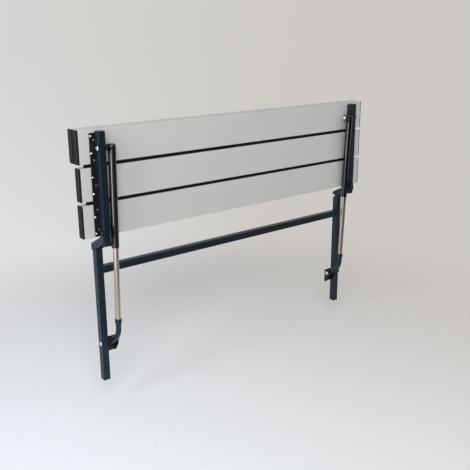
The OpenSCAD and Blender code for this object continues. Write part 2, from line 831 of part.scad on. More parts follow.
// Bent foot of the strut: collar, straight neck, bend and closed end round the foot pivot
module elbow(side) {
    bend_drop = elbow_r * sin(elbow_bend);
    bend_in = elbow_r * (1 - cos(elbow_bend));
    tail = (elbow_out - bend_in) / sin(elbow_bend);
    bend_top = bend_drop + tail * cos(elbow_bend);
    bore_r = rod_r - rod_wall - 0.5;
    color(coat_colour)
    strut_frame(side) difference() {
        union() {
            on_rod_line(collar_top - collar_len) collar();
            on_rod_line(bend_top)
                cylinder(h = collar_top - collar_len + cut - bend_top, r = rod_r, $fn = fn_large);
            translate([0, -elbow_out + elbow_r, bend_top]) bend(rod_r);
            rotate([elbow_bend, 0, 0]) cylinder(h = tail + 2 * cut, r = tail_r, $fn = fn_large);
            rod_x(-tail_r, tail_r, tail_r + 0.5);
        }
        on_rod_line(bend_top) cylinder(h = rod_bottom + cut - bend_top, r = bore_r, $fn = fn_large);
        translate([0, -elbow_out + elbow_r, bend_top]) bend(bore_r);
        on_rod_line(rod_bottom) cylinder(h = rod_seat + cut, r = rod_r + seat_gap, $fn = fn_large);
        rod_x(-2 * rod_r, 2 * rod_r, pivot_bolt_d / 2 + pin_gap);
        on_rod_line(rod_bottom - screw_drop)
            mirror([1, 0, 0]) rod_x(0, 2 * rod_r, screw_d / 2 + pin_gap);
    }
}

// Collar with a chamfered lower edge
module collar() {
    slope = 3;
    rotate_extrude($fn = fn_large) polygon([
        [0, 0], [rod_r, 0], [collar_d / 2, slope], [collar_d / 2, collar_len - 1],
        [collar_d / 2 - 1, collar_len], [0, collar_len]
    ]);
}

// Bend of the elbow, from the neck at its top round towards the foot pivot
module bend(r) {
    rotate([90, 0, 90]) rotate([0, 0, 180])
        rotate_extrude(angle = elbow_bend, $fn = 2 * fn_large)
            translate([elbow_r, 0]) circle(r = r, $fn = fn_large);
}

module elbow_screw(side) {
    color(steel_colour)
    strut_frame(side) on_rod_line(rod_bottom - screw_drop) mirror([1, 0, 0]) {
        rod_x(rod_r - 2, rod_r, screw_d / 2);
        translate([rod_r, 0, 0]) button_head(rivet_head_d, rivet_head_h + 1);
    }
}

// Knob with two flared wings on a short stud, turning about Y
module wing_knob(side) {
    hub_r = knob_hub_d / 2;
    tip_r = 5;
    root_r = 5;
    wing_reach = knob_span / 2 - tip_r;
    stand = 1;
    color(black_colour)
    outboard(side) translate([-knob_in, -arm_front, foot_z + knob_rise]) {
        pin_y(tube_wall + 3, tube_wall + 3 + stand + cut, knob_stud_d / 2);
        translate([0, -stand, 0]) rotate([90, 0, 0]) rotate_extrude($fn = fn_large) polygon([
            [0, 0], [hub_r, 0], [hub_r, knob_hub_h - 5], [hub_r - 1.5, knob_hub_h - 2],
            [hub_r - 4, knob_hub_h], [0, knob_hub_h]
        ]);
        for (s = [-1, 1]) plate_x(-knob_wing_t / 2, knob_wing_t / 2)
            link_2d([-stand - root_r - 2, 0], root_r, [-stand - knob_wing_d + tip_r, s * wing_reach], tip_r);
    }
}

upright(left);  // left_upright
upright(right);  // right_upright
crossbar();
upright_plugs();
strut_bracket(left);  // left_strut_bracket
strut_bracket(right);  // right_strut_bracket
strut_foot_bolts();
strut_foot_washers();
strut_foot_spacers();
hinge_bolts();
hinge_caps();
hinge_washers();
wall_rail();
wall_rail_caps();
leaf_slat(2);  // outer_slat
leaf_slat(1);  // middle_slat
leaf_slat(0);  // inner_slat
slat_caps(left);  // left_slat_caps
slat_caps(right);  // right_slat_caps
joint_strips();
arm(left);  // left_arm
arm(right);  // right_arm
arm_plugs();
flange(left);  // left_flange
flange(right);  // right_flange
flange_screws();
flange_rivets();
hinge_bracket(left);  // left_hinge_bracket
hinge_bracket(right);  // right_hinge_bracket
bracket_bolts();
strut_head_bolts();
strut_head_washers();
strut_head_spacers();
sleeve_tube(left);  // left_sleeve_tube
sleeve_tube(right);  // right_sleeve_tube
sleeve_eye(left);  // left_sleeve_eye
sleeve_eye(right);  // right_sleeve_eye
rod_tube(left);  // left_rod_tube
rod_tube(right);  // right_rod_tube
rod_plug(left);  // left_rod_plug
rod_plug(right);  // right_rod_plug
elbow(left);  // left_elbow
elbow(right);  // right_elbow
elbow_screw(left);  // left_elbow_screw
elbow_screw(right);  // right_elbow_screw
wing_knob(left);  // left_wing_knob
wing_knob(right);  // right_wing_knob
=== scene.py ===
"""Looks of a wall-mounted folding table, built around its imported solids.

The solids keep their shapes and get procedural finishes. The screws, rivets and bolts that
show, the wing knobs and the weld beads are modelled here in more detail. Units are metres in
the part's own frame: X along the wall, the room at -Y, Z up.
"""

import logging
import math
from dataclasses import dataclass
from enum import Enum
from typing import Sequence

import bpy
from mathutils import Matrix, Vector

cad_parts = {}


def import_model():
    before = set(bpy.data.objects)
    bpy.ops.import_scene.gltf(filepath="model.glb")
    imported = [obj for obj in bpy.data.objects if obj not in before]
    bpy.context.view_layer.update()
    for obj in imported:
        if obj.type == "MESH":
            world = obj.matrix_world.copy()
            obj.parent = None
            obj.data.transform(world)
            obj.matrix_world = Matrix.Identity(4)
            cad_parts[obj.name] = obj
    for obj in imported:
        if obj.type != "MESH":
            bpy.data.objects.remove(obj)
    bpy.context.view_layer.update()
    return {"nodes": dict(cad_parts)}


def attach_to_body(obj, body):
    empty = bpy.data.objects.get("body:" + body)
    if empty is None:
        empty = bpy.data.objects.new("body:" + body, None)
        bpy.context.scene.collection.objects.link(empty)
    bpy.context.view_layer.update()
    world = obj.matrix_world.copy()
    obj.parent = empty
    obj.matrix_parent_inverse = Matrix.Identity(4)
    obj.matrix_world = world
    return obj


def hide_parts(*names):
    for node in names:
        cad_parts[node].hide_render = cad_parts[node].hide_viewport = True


LOG = logging.getLogger("folding_table")

Span = tuple[float, float]
Colour = tuple[float, float, float]
Place = tuple[float, float, float]
Thing = bpy.types.Object
Socket = bpy.types.NodeSocket
Sockets = bpy.types.bpy_prop_collection
Value = Socket | float | Sequence[float]


class Side(Enum):
    """The two mirrored halves of the table, by the sign of their X."""

    LEFT = -1
    RIGHT = 1

    @property
    def label(self) -> str:
        """Prefix of this side's node and body names."""
        return self.name.lower()


class Body(Enum):
    """Rigid bodies that the pieces ride on."""

    FRAME = "wall_frame"
    LEAF = "table_leaf"


class Slot(Enum):
    """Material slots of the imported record."""

    COAT = "frame_coat"
    SLAT = "slat_grey"
    CAP = "cap_plastic"
    BLACK = "black_plastic"
    NYLON = "nylon"
    BOLT = "bolt_steel"
    RIVET = "rivet_steel"
    ROD = "rod_steel"


def scaled(values: Sequence[float], factor: float) -> tuple[float, ...]:
    """Values times a factor."""
    return tuple(value * factor for value in values)


def srgb(*levels: int) -> Colour:
    """Linear colour of 8-bit display levels of red, green and blue."""
    shares = scaled(levels, 1 / 255)
    return tuple(s / 12.92 if s <= 0.04045 else ((s + 0.055) / 1.055) ** 2.4 for s in shares)


# Finishes

MIX_FIRST, MIX_SECOND, MIX_RESULT = 6, 7, 2
"""Places of the colour sockets on a Mix node."""

NOISE_SPAN: Span = (0.3, 0.7)
"""Range that holds nearly all values of a noise."""


class NodeBoard:
    """Small helper that lays out a material's or world's shader nodes."""

    def __init__(self, tree: bpy.types.NodeTree) -> None:
        """Empties the tree and keeps it, to be filled."""
        self.tree = tree
        tree.nodes.clear()

    def add(self, kind: str, inputs: dict[str | int, Value], **settings: str) -> Sockets:
        """Adds a node.

        Args:
            kind: Blender's node type name, less its first word.
            inputs: Sockets that feed its inputs, or their values, by name or place.
            **settings: Node properties to set.

        Returns:
            The new node's outputs.
        """
        node = self.tree.nodes.new("ShaderNode" + kind)
        for name, setting in settings.items():
            setattr(node, name, setting)
        for key, value in inputs.items():
            target = node.inputs[key]
            if isinstance(value, Socket):
                self.tree.links.new(value, target)
            else:
                target.default_value = (*value, 1) if target.type == "RGBA" else value
        return node.outputs

    def calc(self, operation: str, first: Value, second: Value = 0.0) -> Socket:
        """Result of Blender's operation of that name on numbers."""
        return self.add("Math", {0: first, 1: second}, operation=operation)["Value"]

    def vector(self, operation: str, first: Value, second: Value = (0, 0, 0)) -> Sockets:
        """Results of Blender's operation of that name on vectors."""
        return self.add("VectorMath", {0: first, 1: second}, operation=operation)

    def coords(self, kind: str = "Object") -> Socket:
        """Texture coordinates of one kind."""
        return self.add("TexCoord", {})[kind]

    def axis(self, vector: Socket, name: str) -> Socket:
        """One axis of a vector."""
        return self.add("SeparateXYZ", {"Vector": vector})[name]

    def glow(self, colour: Socket) -> Socket:
        """Shader that shines in a colour."""
        return self.add("Emission", {"Color": colour})["Emission"]

    def blend(self, share: Socket, first: Socket, second: Socket) -> Socket:
        """Mix of two shaders by the share of the second one."""
        return self.add("MixShader", {0: share, 1: first, 2: second})["Shader"]

    def close(self, shader: Socket, kind: str = "OutputMaterial") -> None:
        """Sends a shader to the tree's output."""
        self.add(kind, {"Surface": shader})

    def ranged(self, value: Socket, start: Span, end: Span = (0, 1), eased: bool = False) -> Socket:
        """Maps a value from one range onto another.

        Args:
            value: Value to map.
            start: Range that it comes from.
            end: Range that it goes to, and is held in.
            eased: Whether it slows down towards both ends.

        Returns:
            The mapped value.
        """
        ends = dict(zip(("From Min", "From Max", "To Min", "To Max"), (*start, *end)))
        kind = "SMOOTHSTEP" if eased else "LINEAR"
        return self.add("MapRange", {"Value": value} | ends, interpolation_type=kind)["Result"]

    def mix(self, share: Value, first: Value, second: Value, blend: str = "MIX") -> Socket:
        """Mix of two colours by the share of the second one, in Blender's way of that name."""
        inputs = {"Factor": share, MIX_FIRST: first, MIX_SECOND: second}
        return self.add("Mix", inputs, data_type="RGBA", blend_type=blend)[MIX_RESULT]

    def noise(self, scale: float, detail: float, stretch: Sequence[float] = (1, 1, 1)) -> Socket:
        """Noise on stretched Object coordinates, in features per metre, mostly in NOISE_SPAN."""
        place = self.add("Mapping", {"Vector": self.coords(), "Scale": stretch})["Vector"]
        return self.add("TexNoise", {"Vector": place, "Scale": scale, "Detail": detail})["Fac"]

    def tint(self, noise: Socket, dark: Colour, light: Colour) -> Socket:
        """Ramps from one colour to another.

        Args:
            noise: Noise that the colour follows.
            dark: Colour at its low end.
            light: Colour at its high end.

        Returns:
            The colour.
        """
        colour = self.add("ValToRGB", {"Fac": noise})["Color"]
        stops = colour.node.color_ramp.elements
        for stop, level, tone in zip(stops, NOISE_SPAN, (dark, light)):
            stop.position = level
            stop.color = (*tone, 1)
        return colour

    def round_tangent(self) -> Socket:
        """Draws highlights out along an upright tube.

        Returns:
            The tangent round the tube, in world space.
        """
        across = self.vector("CROSS_PRODUCT", self.coords("Normal"), (0, 0, 1))["Vector"]
        ways = {"vector_type": "VECTOR", "convert_from": "OBJECT", "convert_to": "WORLD"}
        return self.add("VectorTransform", {"Vector": across}, **ways)["Vector"]


def new_material(name: str) -> tuple[bpy.types.Material, NodeBoard]:
    """Makes an empty material.

    Args:
        name: Material name.

    Returns:
        The material and a board on its nodes.
    """
    made = bpy.data.materials.new(name)
    made.use_nodes = True
    return made, NodeBoard(made.node_tree)


@dataclass(frozen=True)
class Ribs:
    """Upright ribs, with painted shade in the grooves between them and along the rims beside them.

    Attributes:
        pitch: Distance between the ribs.
        width: Width of a rib.
        centres: Depths of the middle ribs of the front and the rear caps.
        flank: Where the painted shade of the grooves starts and ends its fade, as shares of a rib's
            width.
        rim: Where the painted shade along the rims starts and ends its fade, as shares of the
            pitch.
        dark: Colour that the grooves and rims are multiplied by, as painted shade.
    """

    pitch: float
    width: float
    centres: Span
    flank: Span = (0.42, 0.62)
    rim: Span = (0.9, 1.9)
    dark: Colour = (0.18, 0.17, 0.18)

    def darken(self, board: NodeBoard, colour: Socket) -> Socket:
        """Paints shade into the grooves and along the rims.

        Args:
            board: Board to add to.
            colour: Colour of the ribs.

        Returns:
            The colour with painted shade in the grooves and along the rims.
        """
        depth = board.axis(board.coords(), "Y")
        rear = board.calc("GREATER_THAN", depth, sum(self.centres) / 2)
        offset = board.calc("SUBTRACT", depth, board.ranged(rear, (0, 1), self.centres))
        wave = board.calc("PINGPONG", offset, self.pitch / 2)
        # Painted shade in the grooves between the ribs and along the rims of each cap.
        groove_shade = board.ranged(wave, scaled(self.flank, self.width), eased=True)
        rim = board.ranged(board.calc("ABSOLUTE", offset), scaled(self.rim, self.pitch), eased=True)
        return board.mix(board.calc("MAXIMUM", groove_shade, rim), colour, self.dark, "MULTIPLY")


@dataclass(frozen=True)
class Finish:
    """A procedural surface: mottled colour, uneven gloss and a fine relief.

    Attributes:
        name: Material name.
        slot: Record slot of what wears it; not used.
        colour: Mean linear colour.
        mottle: Change of the colour either way, and blotches per metre.
        gloss: Roughness of its smoothest and its dullest spots.
        grain: Relief features per metre, and their depth in metres.
        grain_share: Share of the relief that shows.
        stretch: Scale of the relief along each axis.
        metallic: 1 for bare metal.
        specular: Strength of the plain reflection.
        sheen: Tint of the plain reflection.
        drawn: Share by which highlights stretch along the strut, 0 to 1.
        ribs: Ribs with painted shade in their grooves and along their rims, if it has any.
        octaves: Octaves of the blotches and of the relief.
    """

    name: str
    slot: Slot
    colour: Colour
    mottle: Span
    gloss: Span
    grain: Span
    grain_share: float = 0.6
    stretch: Sequence[float] = (1, 1, 1)
    metallic: float = 0.0
    specular: float = 0.5
    sheen: Colour = (1, 1, 1)
    drawn: float = 0.0
    ribs: Ribs | None = None
    octaves: Span = (4, 3)

    def build(self) -> bpy.types.Material:
        """Makes the material, once.

        Returns:
            The material of this finish.
        """
        made = bpy.data.materials.get(self.name)
        if made:
            return made
        made, board = new_material(self.name)
        amount, blotches = self.mottle
        blotch = board.noise(blotches, self.octaves[0])
        relief = board.noise(self.grain[0], self.octaves[1], self.stretch)
        bump = {"Height": relief, "Distance": self.grain[1], "Strength": self.grain_share}
        colour = board.tint(blotch, self._shade(1 - amount), self._shade(1 + amount))
        inputs = {
            # Ribs add painted shade to their grooves and rims.
            "Base Color": self.ribs.darken(board, colour) if self.ribs else colour,
            "Roughness": board.ranged(relief, NOISE_SPAN, self.gloss),
            "Normal": board.add("Bump", bump)["Normal"],
            "Metallic": self.metallic,
            "Specular IOR Level": self.specular,
            "Specular Tint": self.sheen,
        }
        if self.drawn:
            inputs |= {"Anisotropic": self.drawn, "Tangent": board.round_tangent()}
        board.close(board.add("BsdfPrincipled", inputs)["BSDF"])
        return made

    def _shade(self, factor: float) -> Colour:
        """Colour scaled by a factor, each channel at most 1."""
        return tuple(min(1.0, channel) for channel in scaled(self.colour, factor))

    def dress(self, thing: Thing) -> None:
        """Gives an object this finish alone.

        Args:
            thing: Object to dress.
        """
        thing.data.materials.clear()
        thing.data.materials.append(self.build())
        LOG.info("%s wears %s", thing.name, self.name)


POWDER_COAT = Finish(
    "anthracite_powder_coat", Slot.COAT, srgb(16, 23, 31),
    mottle=(0.07, 9), gloss=(0.36, 0.48), grain=(900, 0.0001),
    sheen=(0.53, 0.76, 1.0),
)
GLOSSY_COAT = Finish(
    "anthracite_gloss_coat", Slot.COAT, srgb(8, 12, 17),
    mottle=(0.06, 9), gloss=(0.09, 0.13), grain=(500, 0.00002),
    specular=0.7, drawn=0.7,
)
BLACK_COAT = Finish(
    "black_bracket_coat", Slot.COAT, srgb(15, 17, 21),
    mottle=(0.08, 20), gloss=(0.35, 0.5), grain=(1100, 0.0001),
    specular=0.3,
)
SLAT_SKIN = Finish(
    "light_grey_slat", Slot.SLAT, srgb(187, 187, 187),
    mottle=(0.012, 4), gloss=(0.42, 0.55), grain=(260, 0.00004),
    stretch=(0.02, 1, 1), specular=0.3,
)
# End caps, with ribs drawn as painted shade in their grooves and along their rims.
CAP_SKIN = Finish(
    "end_cap_plastic", Slot.CAP, srgb(56, 54, 55),
    mottle=(0.08, 40), gloss=(0.45, 0.6), grain=(1600, 0.00008),
    specular=0.12, ribs=Ribs(pitch=0.0068, width=0.0032, centres=(-0.0605, -0.020)),
)
BLACK_PLASTIC = Finish(
    "moulded_black", Slot.BLACK, srgb(18, 18, 19),
    mottle=(0.1, 45), gloss=(0.38, 0.52), grain=(1500, 0.00008),
    specular=0.35,
)
STRIP_RUBBER = Finish(
    "joint_strip_black", Slot.BLACK, srgb(13, 13, 11),
    mottle=(0.12, 18), gloss=(0.55, 0.7), grain=(900, 0.00006),
    stretch=(0.05, 1, 1), specular=0.15,
)
BUSH_NYLON = Finish(
    "bush_nylon", Slot.NYLON, srgb(26, 26, 28),
    mottle=(0.08, 60), gloss=(0.4, 0.5), grain=(1200, 0.00004),
    specular=0.35,
)
BRIGHT_STEEL = Finish(
    "bright_fastener", Slot.BOLT, srgb(226, 226, 226),
    mottle=(0.04, 90), gloss=(0.18, 0.3), grain=(1800, 0.00002),
    metallic=1.0,
)
DARK_STEEL = Finish(
    "blackened_fastener", Slot.BOLT, srgb(58, 60, 64),
    mottle=(0.08, 90), gloss=(0.3, 0.42), grain=(1800, 0.00003),
    metallic=1.0,
)
DULL_RIVET = Finish(
    "dull_rivet", Slot.RIVET, srgb(172, 160, 156),
    mottle=(0.12, 150), gloss=(0.35, 0.5), grain=(2500, 0.00004),
    metallic=1.0,
)
ROD_STEEL = Finish(
    "polished_rod", Slot.ROD, srgb(190, 178, 168),
    mottle=(0.03, 12), gloss=(0.17, 0.19), grain=(260, 0.0000004),
    stretch=(1, 1, 0.02), metallic=1.0, drawn=0.7,
)


def dress_all(
    nodes: dict[str, Thing], finishes: dict[Finish, Sequence[str]], prefix: str = ""
) -> None:
    """Gives solids their finishes.

    Args:
        nodes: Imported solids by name.
        finishes: Names of the solids that wear each finish.
        prefix: Start of all those names.
    """
    for finish, names in finishes.items():
        for name in names:
            finish.dress(nodes[prefix + name])


# Mesh tools


@dataclass(frozen=True)
class Ring:
    """One ring of a turned or prismatic form.

    Attributes:
        radius: Radius, or half the width across flats.
        height: Place along the axis.
        sides: Number of flats, 0 for a round ring.
    """

    radius: float
    height: float
    sides: int = 0

    def reach(self, angle: float) -> float:
        """Distance from the axis.

        Args:
            angle: Angle about the axis, in radians.

        Returns:
            The distance at that angle.
        """
        if not self.sides:
            return self.radius
        step = 2 * math.pi / self.sides
        return self.radius / math.cos((angle % step) - step / 2)


class Shell:
    """Vertices and faces of one piece while it is put together."""

    def __init__(self) -> None:
        """Starts empty."""
        self.points: list[Vector] = []
        self.faces: list[tuple[int, ...]] = []

    def stack(self, rings: Sequence[Ring], place: Matrix, segments: int = 36) -> None:
        """Adds a closed form through a series of rings.

        Args:
            rings: Rings from the first end to the last, heights along local +Z.
            place: Matrix from the local frame to the part's frame.
            segments: Points on each ring.
        """
        base = len(self.points)
        for ring in rings:
            for k in range(segments):
                angle = 2 * math.pi * k / segments
                reach = ring.reach(angle)
                local = Vector((reach * math.cos(angle), reach * math.sin(angle), ring.height))
                self.points.append(place @ local)
        self._wall(base, len(rings), segments)
        for ring, start, down in (
            (rings[0], base, True),
            (rings[-1], base + (len(rings) - 1) * segments, False),
        ):
            centre = len(self.points)
            self.points.append(place @ Vector((0, 0, ring.height)))
            for k in range(segments):
                pair = (start + k, start + (k + 1) % segments)
                self.faces.append((centre, *(reversed(pair) if down else pair)))

    def sweep(self, path: Sequence[Vector], widths: Sequence[Span], segments: int) -> None:
        """Adds a closed form with oval sections along a path that keeps its X.

        Args:
            path: Centre points.
            widths: Half widths of each section, along X and at right angles to that.
            segments: Points on each section.
        """
        base = len(self.points)
        count = len(path)
        across = Vector((1, 0, 0))
        for i, centre in enumerate(path):
            ahead = (path[min(i + 1, count - 1)] - path[max(i - 1, 0)]).normalized()
            first = (across - ahead * across.dot(ahead)).normalized()
            second = ahead.cross(first)
            for k in range(segments):
                angle = 2 * math.pi * k / segments
                self.points.append(
                    centre
                    + first * (widths[i][0] * math.cos(angle))
                    + second * (widths[i][1] * math.sin(angle))
                )
        self._wall(base, count, segments)
        last = base + (count - 1) * segments
        self.faces.append(tuple(base + k for k in reversed(range(segments))))
        self.faces.append(tuple(last + k for k in range(segments)))

    def _wall(self, base: int, rows: int, segments: int) -> None:
        """Joins neighbouring rows of points by faces.

        Args:
            base: Number of the first row's first point.
            rows: Number of rows.
            segments: Points in each row.
        """
        for i in range(rows - 1):
            low, high = base + i * segments, base + (i + 1) * segments
            for k in range(segments):
                after = (k + 1) % segments
                self.faces.append((low + k, low + after, high + after, high + k))

    def to_object(self, name: str, sharp: float = 32.0) -> Thing:
        """Makes a Blender object of the shell.

        Args:
            name: Object name.
            sharp: Angle in degrees above which an edge stays sharp.

        Returns:
            The object, linked to the scene.
        """
        mesh = bpy.data.meshes.new(name)
        mesh.from_pydata([tuple(p) for p in self.points], [], self.faces)
        mesh.update()
        mesh.shade_smooth()
        mesh.set_sharp_from_angle(angle=math.radians(sharp))
        return place_object(name, mesh)


def place_object(name: str, data: bpy.types.ID) -> Thing:
    """Makes an object and links it to the scene.

    Args:
        name: Object name.
        data: Its mesh, light or camera.

    Returns:
        The object.
    """
    made = bpy.data.objects.new(name, data)
    bpy.context.scene.collection.objects.link(made)
    return made


def axis_matrix(origin: Vector, along: Vector) -> Matrix:
    """Matrix to the part's frame from one at a point whose +Z points along a direction."""
    turn = Vector((0, 0, 1)).rotation_difference(along.normalized()).to_matrix().to_4x4()
    return Matrix.Translation(origin) @ turn


def dome(radius: float, height: float, start: float = 0.0, steps: int = 6) -> list[Ring]:
    """Rings of a shallow dome.

    Args:
        radius: Radius at its foot.
        height: Rise of its top.
        start: Height of its foot.
        steps: Number of rings.

    Returns:
        The rings from the foot up, ending just off the axis.
    """
    ball = (radius * radius + height * height) / (2 * height)
    rings = []
    for i in range(steps):
        reach = radius * math.sin(math.pi / 2 * (1 - i / steps))
        rings.append(Ring(reach, start + math.sqrt(ball * ball - reach * reach) - ball + height))
    return rings


def attach(thing: Thing, body: str, *nodes: str) -> None:
    """Lets a finished piece ride on a body and stand for its solids.

    Args:
        thing: The piece.
        body: Body name.
        *nodes: Solids that it replaces.
    """
    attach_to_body(thing, body)
    if nodes:
        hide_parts(*nodes)
    LOG.info("%s rides on %s%s", thing.name, body, " for " + ", ".join(nodes) if nodes else "")


# Hardware

TUBE_X = 0.750
"""Distance of the centre lines of uprights and arms from the mid-plane."""

TUBE_HALF = 0.016
"""Half the side of the square tubes."""


@dataclass(frozen=True)
class Head:
    """Domed head of a fastener, with a recess in its top.

    Attributes:
        radius: Radius at its seat.
        height: Height of the dome above the seat.
        rim: Height of the upright rim below the dome.
        stop: Radius at which the dome ends.
        recess: Rings of the recess, counted from where the dome ends.
        shrink: Dome's radius as a share of the rim's.
    """

    radius: float
    height: float
    rim: float
    stop: float
    recess: tuple[Ring, ...]
    shrink: float = 0.98

    def rings(self, seat: float = 0.0) -> list[Ring]:
        """Rings of the head.

        Args:
            seat: Height of its seat.

        Returns:
            The rings from the seat to the bottom of the recess.
        """
        foot = seat + self.rim
        crown = dome(self.radius * self.shrink, self.height - self.rim, foot)
        rings = [Ring(self.radius, seat), Ring(self.radius, foot)]
        rings += [ring for ring in crown if ring.radius > self.stop]
        top = rings[-1].height
        return rings + [Ring(ring.radius, top + ring.height, ring.sides) for ring in self.recess]


PIVOT_HEAD = Head(
    0.011, 0.004, 0.0006, 0.0045,
    (Ring(0.00336, 0.0003, 6), Ring(0.003, 0, 6), Ring(0.003, -0.0022, 6)), shrink=0.985,
)
SCREW_HEAD = Head(
    0.0045, 0.0025, 0.0006, 0.0018, (Ring(0.0014, 0.0002, 6), Ring(0.0012, -0.0012, 6))
)
RIVET_HEAD = Head(0.0038, 0.0014, 0.0003, 0.0014, (Ring(0.0011, 0), Ring(0.001, -0.0008)))
CROSS_HEAD = Head(
    0.0055, 0.003, 0.0005, 0.0028, (Ring(0.002, 0.0002, 6), Ring(0.0019, -0.0016, 6))
)


@dataclass
class PivotBolts:
    """Pair of bolts with a domed socket head outboard and a cap nut inboard.

    Attributes:
        name: Object name.
        node: Solids that they replace.
        body: Body that they ride on.
        pivot: Depth and height of their axis.
        inner: Distance of the inboard face from the tube's centre.
        nut: Half the nut's width across flats, and its height.
        chamfer: Height of the nut's lower and upper chamfer.
        ends: Radii of the nut's lower and upper end, as shares of half its width.
        crown: Radius of its dome, as a share of half its width.
        crown_gaps: How far the dome's foot is raised and its rise is shortened.
        tip: Radius of the dome's tip.
        shank: Shank's radius.
        washer: Thickness of the washer under head and nut.
    """

    name: str
    node: str
    body: Body
    pivot: Span
    inner: float
    nut: Span = (0.0092, 0.0138)
    chamfer: Span = (0.0005, 0.0006)
    ends: Span = (0.97, 0.99)
    crown: float = 0.84
    crown_gaps: Span = (0.0003, 0.0004)
    tip: float = 0.0002
    shank: float = 0.005
    washer: float = 0.002

    def build(self) -> None:
        """Builds the pair of bolts."""
        shell = Shell()
        near, far = TUBE_HALF + self.washer, self.inner + self.washer
        for side in Side:
            point, out = Vector((side.value * TUBE_X, *self.pivot)), Vector((side.value, 0, 0))
            shell.stack(PIVOT_HEAD.rings(), axis_matrix(point + out * near, out), 48)
            shell.stack(self._nut(), axis_matrix(point - out * far, -out), 48)
            shank = [Ring(self.shank, 0), Ring(self.shank, near + far)]
            shell.stack(shank, axis_matrix(point - out * far, out), 32)
        made = shell.to_object(self.name)
        BRIGHT_STEEL.dress(made)
        attach(made, self.body.value, self.node)

    def _nut(self) -> list[Ring]:
        """Rings of a cap nut with a chamfered hexagon and a dome.

        Returns:
            The rings from the washer to the tip.
        """
        flats, height = self.nut
        low, high = self.chamfer
        hexagon = height / 2
        raised, cut = self.crown_gaps
        crown = dome(flats * self.crown, height - hexagon - cut, hexagon + raised, 8)
        return [
            Ring(flats * self.ends[0], 0),
            Ring(flats, low, 6),
            Ring(flats, hexagon - high, 6),
            Ring(flats * self.ends[1], hexagon),
            *crown,
            Ring(self.tip, height),
        ]


@dataclass
class FlangeFasteners:
    """Screws and rivets on the two flanges, set out by a node tree.

    Attributes:
        screw: Distance of the screw columns from the mid-plane, and length of the shanks.
        rivet: The same for the rivets.
        face_y: Front face of the flanges.
        middle_z: Height of the flanges' middle.
        pair_pitch: Distance between neighbouring pairs of screws.
        pair_gap: Distance between a pair's screws.
        rivet_rises: Heights of the rivets from the middle.
        shank: Radius of the shanks.
    """

    screw: Span = (0.784, 0.014)
    rivet: Span = (0.77152, 0.008)
    face_y: float = -0.0835
    middle_z: float = 0.598
    pair_pitch: float = 0.1685
    pair_gap: float = 0.070
    rivet_rises: tuple[float, ...] = (-0.187, -0.103, 0.0, 0.103, 0.187)
    shank: float = 0.002

    def build(self) -> None:
        """Builds both kinds of fastener."""
        rises = [k * self.pair_pitch + s * self.pair_gap / 2 for k in (-1, 0, 1) for s in (-1, 1)]
        self._spread("screw", SCREW_HEAD, self.screw, rises, BRIGHT_STEEL)
        self._spread("rivet", RIVET_HEAD, self.rivet, self.rivet_rises, DULL_RIVET)

    def _spread(
        self, kind: str, head: Head, sizes: Span, rises: Sequence[float], finish: Finish
    ) -> None:
        """Sets one kind of fastener out on both flanges.

        Args:
            kind: Word for the fastener in the names of the piece and the node.
            head: Its head.
            sizes: Distance of the columns from the mid-plane, and length of the shanks.
            rises: Heights from the flange's middle.
            finish: Finish of the pieces.
        """
        column_x, length = sizes
        shell = Shell()
        rings = [Ring(self.shank, -length), Ring(self.shank, 0), *head.rings()]
        shell.stack(rings, Matrix.Identity(4), 24)
        pattern = shell.to_object(f"{kind}_pattern")
        spots = [(side.value * column_x, rise) for side in Side for rise in rises]
        points = [(x, self.face_y, self.middle_z + rise) for x, rise in spots]
        name = f"flange_{kind}_heads"
        mesh = bpy.data.meshes.new(name + "_points")
        mesh.from_pydata(points, [], [])
        carrier = place_object(name, mesh)
        made = ScatterTree(name + "_tree").apply(carrier, pattern, finish.build())
        bpy.data.objects.remove(pattern)
        finish.dress(made)
        attach(made, Body.LEAF.value, f"flange_{kind}s")


